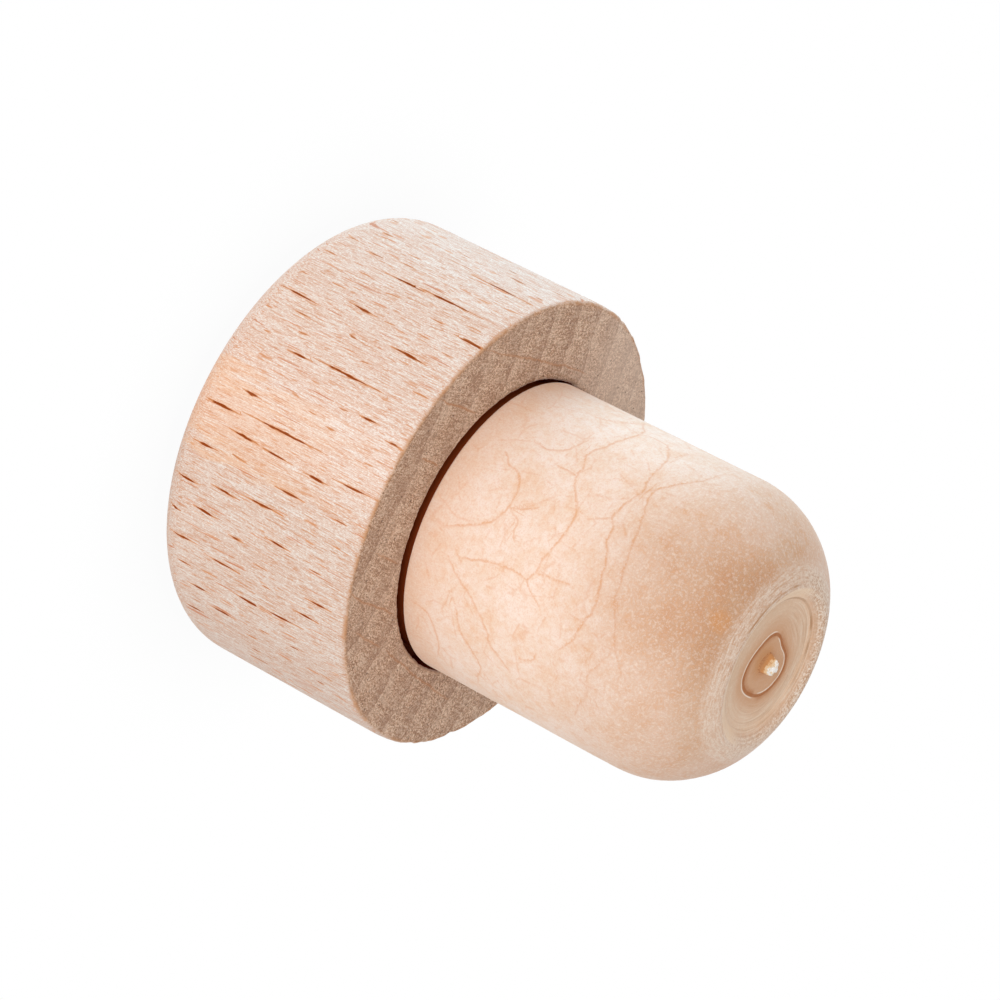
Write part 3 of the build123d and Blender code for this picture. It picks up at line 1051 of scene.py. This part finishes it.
class Cork:
    """What the plug is painted by: places on it, and its clouds, granules and grits."""

    def __init__(self, graph):
        self.place = graph.place()
        self.x, self.y, z = graph.split(self.place)
        self.lift = graph.math("SUBTRACT", z, FACE_HEIGHT)
        self.radius = graph.length(self.x, self.y)
        self.turn = graph.math("ARCTAN2", self.x, graph.times(self.y, -1))
        self.turned_radius = graph.attribute("turned_radius").outputs["Fac"]
        self.tear = graph.attribute("tear").outputs["Fac"]
        self.to_tip = graph.smooth(self.lift, 8.5, 19.5)
        self.at_tip = graph.smooth(self.lift, 19.5, 19.8)

        # Clouds, patches and a mottling, then granules and two finer grits
        self.clouds = graph.lumps(self.place, 3.2, detail=3, roughness=0.6)
        self.patches = graph.lumps(graph.vector("ADD", self.place, (17, 3, 9)), 1.1, detail=3)
        self.mottle = graph.lumps(graph.vector("ADD", self.place, (5, 11, 2)), 0.45, detail=2)
        self.grains = graph.lumps(self.place, 0.19, detail=3, roughness=0.65)
        self.coarse = graph.lumps(self.place, 0.14, detail=2, roughness=0.65)
        self.fine = graph.lumps(self.place, 0.085, detail=1)

        # The rim's crest, on the side away from -Y, where it is painted in shade and speckled
        on_rim = graph.times(graph.smooth(self.radius, 6.5, 5.8), graph.smooth(self.radius, 4.5, 4.9))
        away = graph.times(graph.smooth(self.y, -3.5, 1.0), graph.smooth(self.x, 4.5, 1.0, 0.5, 1.0))
        self.crest = graph.times(on_rim, graph.smooth(self.lift, 19.4, 20.0), away)


def cloud_paint(graph, settings, cork):
    """Clouds of cream and orange tan, a finer mottling of the same two, and painted shade on the far side
    and next to the head.
    """
    colour = graph.paint(settings.peach, settings.cream, cork.clouds, 0.62, 0.38, 0.6)
    tan = graph.times(graph.smooth(cork.patches, 0.45, 0.68),
                      graph.smooth(cork.clouds, 0.4, 0.65, 0.3, 1.0))
    colour = graph.mix(graph.times(tan, 0.55), colour, settings.tan)
    colour = graph.paint(colour, settings.tan, cork.mottle, 0.48, 0.7, 0.28)
    colour = graph.paint(colour, PINK_CREAM, cork.mottle, 0.5, 0.3, 0.4)

    # Painted shade: darker on the far side, and tan next to the head, where the head shades the plug
    far = graph.times(graph.smooth(cork.y, 0.5, 6.0), graph.smooth(cork.lift, 19, 15))
    colour = graph.mix(far, colour, graph.tint(colour, FAR_SHADE_TINT))
    shade_near_head = graph.smooth(cork.lift, 4.2, 0.2)
    return graph.mix(graph.times(shade_near_head, 0.6), colour, SHADE_NEXT_TO_HEAD)


def vein_paint(graph, settings, cork, colour):
    """Veins, the drawn ones and a faint crackle between them, fading toward the tip."""
    wander = graph.smooth(cork.grains, 0, 1, -0.09, 0.09)
    drawn = graph.math("MAXIMUM", graph.line_mask("vein_trunks", wander, 0.13),
                       graph.line_mask("vein_branches", wander, 0.12))
    soft = graph.math("MAXIMUM", graph.line_mask("vein_trunks", 0.0, 0.6),
                      graph.line_mask("vein_branches", 0.0, 0.5))
    broken = graph.smooth(graph.lumps(cork.place, 0.5, detail=1), 0.3, 0.6, 0.6, 1.0)
    cells = graph.vector("ADD", graph.stretch(cork.place, 2.6, 2.6, 2.6), (4.2, 1.7, 8.8))
    edges = graph.cells(cells, "DISTANCE_TO_EDGE").outputs["Distance"]
    crackle = graph.times(graph.smooth(edges, 0.04, 0.0), graph.smooth(cork.patches, 0.42, 0.6), 0.4)
    fading = graph.smooth(cork.to_tip, 0.95, 0.4, 0.15, 1.0)
    veins = graph.times(graph.math("MAXIMUM", graph.times(drawn, broken), crackle), fading)
    colour = graph.mix(graph.times(soft, fading, 0.45), colour, settings.tan)
    return graph.mix(graph.times(veins, 0.75), colour, settings.vein)


def tip_paint(graph, cork, colour):
    """Painted shade, browner toward the tip and darker just below its rim on the near side, with an orange
    smear there.
    """
    shaded_tip = graph.tint(colour, TIP_SHADE_TINT)
    middle = graph.times(graph.smooth(cork.x, 0.0, 5.5, 1.0, 0.6),
                         graph.smooth(cork.x, -3.0, -7.0, 1.0, 0.6))
    colour = graph.mix(graph.times(cork.to_tip, middle), colour, shaded_tip)
    below_rim = graph.times(graph.smooth(cork.lift, 18.7, 19.8), graph.smooth(cork.y, 0.0, -3.0), 0.8)
    colour = graph.mix(below_rim, colour, graph.tint(colour, RIM_SHADE_TINT))
    off = graph.vector("DIVIDE", graph.vector("SUBTRACT", cork.place, SMEAR_PLACE), SMEAR_SIZE)
    smear = graph.smooth(graph.sum(*(graph.times(part, part) for part in graph.split(off))), 1.7, 0.1)
    uneven = graph.smooth(cork.mottle, 0.65, 0.4, 0.65, 1.0)
    return graph.mix(graph.times(smear, uneven), colour, SMEAR)


def granule_paint(graph, cork, colour):
    """A fine soft grain, a finer grit and sparse small pale specks."""
    contrast = graph.smooth(cork.to_tip, 0, 1, 0.22, 0.32)
    dark = graph.times(graph.smooth(cork.grains, 0.46, 0.68), contrast)
    pale = graph.times(graph.smooth(cork.grains, 0.54, 0.32), contrast)
    colour = graph.mix(dark, colour, GRAIN_TAN)
    colour = graph.mix(pale, colour, GRAIN_CREAM)
    colour = graph.paint(colour, GRIT_TAN, cork.fine, 0.5, 0.72, 0.26)
    colour = graph.paint(colour, GRIT_CREAM, cork.fine, 0.5, 0.28, 0.16)
    specks = graph.dots(cork.place, 0.45, (0.32, 0.08), (0.6, 0.95))
    return graph.mix(graph.times(specks, 0.25), colour, SPECK_CREAM)


def rim_paint(graph, cork, colour):
    """The rim: frosted in turned streaks on its outer flank, which is also painted pale there as a
    highlight, and speckled on its crest.
    """
    spiral = graph.join(graph.times(cork.turn, 7.0), graph.times(cork.radius, 8.0), 0.0)
    streaks = graph.smooth(graph.noise(spiral, detail=3, roughness=0.7), 0.38, 0.6, 0.2, 0.9)
    band = graph.times(graph.smooth(cork.radius, 6.9, 6.2), graph.smooth(cork.radius, 4.5, 5.2))
    frost_and_highlight = graph.times(band, graph.smooth(cork.lift, 19.1, 20.0), streaks,
                        graph.smooth(cork.fine, 0.65, 0.35, 0.6, 1.0))
    colour = graph.mix(graph.times(frost_and_highlight, 0.75), colour, FROST_AND_HIGHLIGHT)
    dark = graph.times(cork.crest, graph.smooth(cork.coarse, 0.5, 0.62), 0.65)
    pale = graph.times(cork.crest, graph.smooth(cork.coarse, 0.48, 0.38), 0.6)
    # Painted shade on the crest away from -Y
    colour = graph.mix(graph.times(cork.crest, 0.5), colour, FAR_CREST_SHADE)
    colour = graph.mix(dark, colour, CREST_DARK)
    return graph.mix(pale, colour, CREST_PALE)


def tip_circle(graph, cork, radius, fade, full):
    """1 on a thin circle round the tip's middle: half widths where it fades out and where it is full."""
    off = graph.math("ABSOLUTE", graph.math("SUBTRACT", cork.turned_radius, radius))
    return graph.smooth(off, fade, full)


def recess_paint(graph, cork, colour):
    """The recess: turned lines, a painted highlight on its near flank, and painted shade in creases at the
    foot and the crest of its flank.
    """
    in_recess = graph.times(graph.smooth(cork.turned_radius, 4.9, 4.3), cork.at_tip)
    colour = graph.mix(graph.times(in_recess, 0.6), colour, RECESS)
    spiral = graph.join(graph.times(cork.turned_radius, 9.0), graph.times(cork.turn, 1.5), 0.0)
    turning = graph.noise(spiral, detail=3)
    lines = graph.times(graph.smooth(cork.turned_radius, 5.4, 4.9), cork.at_tip,
                        graph.smooth(cork.y, -1.5, 2.0, 0.4, 1.0))
    dark = graph.times(lines, graph.smooth(turning, 0.52, 0.64, 0, 0.4))
    pale = graph.times(lines, graph.smooth(turning, 0.48, 0.36, 0, 0.35))
    colour = graph.mix(dark, colour, TURNED_DARK)
    colour = graph.mix(pale, colour, TURNED_PALE)

    # Painted shade in the creases at the foot and the crest of the flank, strongest toward -X
    broken = graph.smooth(graph.lumps(cork.place, 2.4, detail=1), 0.35, 0.6, 0.3, 0.8)
    drawn = graph.times(broken, graph.smooth(cork.x, 1.5, -1.5, 0.1, 1.15), cork.at_tip)
    foot = graph.times(tip_circle(graph, cork, 4.40, 0.10, 0.04), drawn, 0.8)
    colour = graph.mix(foot, colour, FOOT_CREASE_SHADE)
    # Painted light: the flank is paler on the near side
    lit_flank = graph.times(graph.smooth(cork.turned_radius, 5.3, 5.1),
                        graph.smooth(cork.turned_radius, 4.3, 4.6), cork.at_tip)
    colour = graph.mix(graph.times(lit_flank, graph.smooth(cork.y, 1.0, -1.0), 0.6), colour, LIT_FLANK)
    # Painted shade along the crest on the near side
    near = graph.times(graph.smooth(cork.y, -1.6, -2.6), graph.smooth(cork.x, -0.4, -1.6))
    crest = graph.times(tip_circle(graph, cork, 5.45, 0.09, 0.04), near, cork.at_tip, drawn, 0.9)
    return graph.mix(crest, colour, CREST_SHADE_LINE)


def gate_paint(graph, settings, cork, colour):
    """Round the gate: a brown halo, and the ring as a brown line with painted shade on one side and a
    painted highlight on the other.
    """
    ring = settings.ring_radius / MM
    halo = graph.times(graph.smooth(cork.turned_radius, 3.8, 2.2), cork.at_tip)
    colour = graph.mix(graph.times(halo, 0.8), colour, GATE_HALO)

    # The painted highlight lies outside the ring toward -Y and inside it toward +Y, and the painted shade
    # on the other side of the ring
    side = graph.math("COSINE", graph.math("SUBTRACT", cork.turn, radians(14)))
    off_ring = graph.math("SUBTRACT", cork.turned_radius, ring)
    facing = graph.times(off_ring, graph.math("SIGN", side))
    clear = graph.times(graph.smooth(graph.math("ABSOLUTE", side), 0.02, 0.25), cork.at_tip)
    shaded = graph.times(graph.smooth(facing, -0.55, -0.08), graph.smooth(facing, 0.03, -0.02), clear,
                         graph.smooth(cork.patches, 0.3, 0.65, 0.5, 0.9))
    colour = graph.mix(shaded, colour, RING_SHADE)
    brown = graph.times(tip_circle(graph, cork, ring, 0.15, 0.08), cork.at_tip, 0.9)
    colour = graph.mix(brown, colour, RING_BROWN)
    beside = graph.math("ABSOLUTE", graph.math("SUBTRACT", facing, 0.17))
    colour = graph.mix(graph.times(graph.smooth(beside, 0.06, 0.02), clear, 0.7), colour, RING_HIGHLIGHT)
    from_stub = graph.length(graph.sum(cork.x, 0.05), graph.sum(cork.y, 0.65))
    return graph.mix(graph.times(graph.smooth(from_stub, 1.55, 0.5), cork.at_tip, 0.75), colour, SMEAR)


def stub_paint(graph, settings, cork, colour):
    """The torn stub: amber at its foot, white along its torn lip and frayed brown round it."""
    lumpy = graph.sum(graph.smooth(cork.mottle, 0.3, 0.7, -0.2, 0.2),
                      graph.smooth(cork.grains, 0.3, 0.7, -0.2, 0.2))
    toward_lip = graph.sum(graph.times(cork.x, 0.55), graph.times(cork.y, 0.83))
    torn = graph.sum(cork.tear, lumpy, graph.smooth(toward_lip, -0.75, -0.05, -0.5, 0.12))
    stub = graph.paint(settings.amber, STUB_TAN, torn, 0.35, 0.6)
    stub = graph.paint(stub, STUB_CREAM, torn, 0.6, 0.9)
    stub = graph.paint(stub, TORN_WHITE, torn, 0.95, 1.1)
    colour = graph.paint(colour, stub, cork.tear, 0.05, 0.3)
    frayed = graph.times(graph.smooth(cork.tear, 0.0, 0.03), graph.smooth(cork.tear, 0.25, 0.08),
                         graph.smooth(cork.fine, 0.4, 0.55))
    return graph.mix(graph.times(frayed, 0.7), colour, FRAYED_BROWN)


def plug_material(settings):
    """Synthetic cork: granular peach plastic with tan clouds and veins, and painted shade that browns its
    tip.
    """
    material, graph = new_material("synthetic_cork")
    cork = Cork(graph)
    colour = cloud_paint(graph, settings, cork)
    colour = vein_paint(graph, settings, cork, colour)
    colour = tip_paint(graph, cork, colour)
    colour = granule_paint(graph, cork, colour)
    colour = rim_paint(graph, cork, colour)
    colour = recess_paint(graph, cork, colour)
    colour = gate_paint(graph, settings, cork, colour)
    colour = stub_paint(graph, settings, cork, colour)

    # Below its shoulder the plug is painted as dark as the bore, as shade in the gap
    shoulder = settings.shoulder_gap / MM
    hidden = graph.smooth(cork.lift, shoulder + 0.005, shoulder)
    colour = graph.mix(hidden, colour, GAP_SHADE)

    grainy = graph.times(cork.grains, graph.smooth(cork.to_tip, 0, 1, 0.7, 1.3))
    relief = graph.sum(grainy, graph.times(cork.fine, 0.3), graph.times(cork.coarse, cork.crest, 1.5))
    roughness = graph.smooth(cork.grains, 0.3, 0.7, 0.55, 0.7)
    open_air = graph.math("SUBTRACT", 1.0, hidden)
    graph.finish(colour, relief, 0.02, roughness, graph.times(open_air, 0.2), graph.times(open_air, 0.15))
    return material


GLUE_DARK = (0.28, 0.045, 0.015)
GLUE_RED = (0.36, 0.08, 0.03)


def glue_material():
    """Hidden wood glue: dark red brown, a little cloudy."""
    material, graph = new_material("glue")
    clouds = graph.lumps(graph.place(), 1.5, detail=3)
    colour = graph.paint(GLUE_DARK, GLUE_RED, clouds, 0.3, 0.7)
    graph.finish(colour, clouds, 0.05, graph.smooth(clouds, 0.3, 0.7, 0.6, 0.75), 0.1)
    return material


def show(mesh, material, node):
    """Adds a finished piece that rides on the stopper and stands for one of its solids."""
    mesh.materials.append(material)
    piece = bpy.data.objects.new(mesh.name, mesh)
    bpy.context.scene.collection.objects.link(piece)
    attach(piece, "root")
    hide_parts(node)


class STOPPER_OT_turn_head(Operator):
    """Turn the beech head, with its bore, end grain and ray flecks"""

    bl_idname = "stopper.turn_head"
    bl_label = "Turn Beech Head"

    def execute(self, context):
        settings = context.scene.stopper_beech
        mesh = head_mesh(settings)
        draw_marks(mesh, "ray_marks", head_marks(settings))
        show(mesh, beech_material(settings), "wooden_head")
        return {"FINISHED"}


class STOPPER_OT_mould_plug(Operator):
    """Mould the synthetic plug, with its recess, gate ring, stub and veins"""

    bl_idname = "stopper.mould_plug"
    bl_label = "Mould Plug"

    def execute(self, context):
        settings = context.scene.stopper_plug
        mesh = plug_mesh(settings)
        trunks, branches = plug_veins(settings)
        draw_marks(mesh, "vein_trunks", trunks)
        draw_marks(mesh, "vein_branches", branches)
        show(mesh, plug_material(settings), "synthetic_plug")
        return {"FINISHED"}


class STOPPER_OT_pour_glue(Operator):
    """Give the glue in the bore its dark finish"""

    bl_idname = "stopper.pour_glue"
    bl_label = "Pour Glue"

    def execute(self, context):
        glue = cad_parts["glue_layer"]
        glue.data.materials.clear()
        glue.data.materials.append(glue_material())
        return {"FINISHED"}


def seen_directly(graph):
    """1 for what the camera sees, also by reflection or through glass, and 0 for the light."""
    path = graph.node("ShaderNodeLightPath")
    either = graph.math("MAXIMUM", path.outputs["Is Camera Ray"], path.outputs["Is Glossy Ray"])
    return graph.math("MAXIMUM", either, path.outputs["Is Transmission Ray"])


def build_floor(settings):
    """A floor that looks white, keeps the stopper's soft shadow and lets lamps shine up through it."""
    corners = [(x * FLOOR_HALF * MM, y * FLOOR_HALF * MM, -FLOOR_DROP * MM)
               for x, y in ((-1, -1), (1, -1), (1, 1), (-1, 1))]
    mesh = bpy.data.meshes.new("floor")
    mesh.from_pydata(corners, [], [(0, 1, 2, 3)])
    material, graph = new_material("floor")
    shade = graph.node("ShaderNodeAmbientOcclusion", {"Distance": SHADOW_REACH * MM}, samples=16)
    dim = graph.smooth(shade.outputs["AO"], 0.35, 1.0, 0.965, 1.0)
    white = graph.node("ShaderNodeEmission", {"Color": (1, 1, 1), "Strength": dim})
    matt = graph.node("ShaderNodeBsdfDiffuse", {"Color": settings.floor_colour})
    mixed = graph.node("ShaderNodeMixShader", {
        0: seen_directly(graph), 1: matt.outputs[0], 2: white.outputs[0]})
    output = graph.node("ShaderNodeOutputMaterial")
    graph.tree.links.new(mixed.outputs[0], output.inputs[0])
    mesh.materials.append(material)
    floor = bpy.data.objects.new("floor", mesh)
    floor.visible_shadow = False
    bpy.context.scene.collection.objects.link(floor)


def build_world(settings):
    """An even white light from all round, seen as plain white."""
    world = bpy.data.worlds.new("studio")
    world.use_nodes = True
    graph = Graph(world.node_tree)
    strength = graph.smooth(seen_directly(graph), 0, 1, settings.world_strength, 1.0)
    light = graph.node("ShaderNodeBackground", {"Color": (1, 1, 1), "Strength": strength})
    output = graph.node("ShaderNodeOutputWorld")
    graph.tree.links.new(light.outputs[0], output.inputs[0])
    bpy.context.scene.world = world


def add_sun(name, direction, strength, spread, colour=(1, 1, 1)):
    """A soft lamp that shines from the given direction."""
    lamp = bpy.data.lights.new(name, "SUN")
    lamp.color = colour
    lamp.energy = strength
    lamp.angle = radians(spread)
    placed = bpy.data.objects.new(name, lamp)
    placed.rotation_mode = "QUATERNION"
    placed.rotation_quaternion = Vector(direction).to_track_quat("Z", "Y")
    bpy.context.scene.collection.objects.link(placed)


def build_camera(settings):
    """The camera at the photograph's own place, rolled as the stopper lies in it."""
    camera = bpy.data.cameras.new("camera")
    camera.lens = settings.focal_length
    camera.sensor_width = SENSOR_WIDTH
    camera.clip_start, camera.clip_end = 0.01, 20.0
    placed = bpy.data.objects.new("camera", camera)
    back = Vector(CAMERA_BACK).normalized()
    right = Vector(CAMERA_RIGHT)
    right = (right - right.dot(back) * back).normalized()
    up = back.cross(right)
    turn = Matrix((right, up, back)).transposed().to_4x4()
    placed.matrix_world = Matrix.Translation(Vector(CAMERA_PLACE) * MM) @ turn
    bpy.context.scene.collection.objects.link(placed)
    bpy.context.scene.camera = placed


class STOPPER_OT_build_stage(Operator):
    """Add the white studio: floor, even light, lamps and camera"""

    bl_idname = "stopper.build_stage"
    bl_label = "Build Stage"

    def execute(self, context):
        settings = context.scene.stopper_stage
        build_floor(settings)
        build_world(settings)
        add_sun("key", KEY_LAMP_FROM, settings.key_strength, KEY_LAMP_SPREAD)
        add_sun("rim", RIM_LAMP_FROM, settings.rim_strength, RIM_LAMP_SPREAD, settings.rim_colour)
        build_camera(settings)
        context.scene.view_settings.view_transform = "Standard"
        return {"FINISHED"}


class STOPPER_PT_panel(Panel):
    """Lists the stopper's pieces and its stage"""

    bl_idname = "STOPPER_PT_panel"
    bl_label = "Bottle Stopper"
    bl_space_type = "VIEW_3D"
    bl_region_type = "UI"
    bl_category = "Stopper"

    def draw(self, context):
        scene = context.scene
        for name, settings in PANEL_ROWS:
            box = self.layout.box()
            if settings:
                group = getattr(scene, settings)
                for key in group.__annotations__:
                    box.prop(group, key)
            box.operator(name)


PANEL_ROWS = (
    ("stopper.turn_head", "stopper_beech"),
    ("stopper.mould_plug", "stopper_plug"),
    ("stopper.pour_glue", ""),
    ("stopper.build_stage", "stopper_stage"),
)
CLASSES = (
    BeechSettings, PlugSettings, StageSettings, STOPPER_OT_turn_head, STOPPER_OT_mould_plug,
    STOPPER_OT_pour_glue, STOPPER_OT_build_stage, STOPPER_PT_panel,
)


def register():
    for kind in CLASSES:
        bpy.utils.register_class(kind)
    bpy.types.Scene.stopper_beech = PointerProperty(type=BeechSettings)
    bpy.types.Scene.stopper_plug = PointerProperty(type=PlugSettings)
    bpy.types.Scene.stopper_stage = PointerProperty(type=StageSettings)


def unregister():
    del bpy.types.Scene.stopper_stage
    del bpy.types.Scene.stopper_plug
    del bpy.types.Scene.stopper_beech
    for kind in reversed(CLASSES):
        bpy.utils.unregister_class(kind)


def main():
    register()
    bpy.ops.stopper.turn_head()
    bpy.ops.stopper.mould_plug()
    bpy.ops.stopper.pour_glue()
    bpy.ops.stopper.build_stage()


if __name__ == "__main__":
    main()
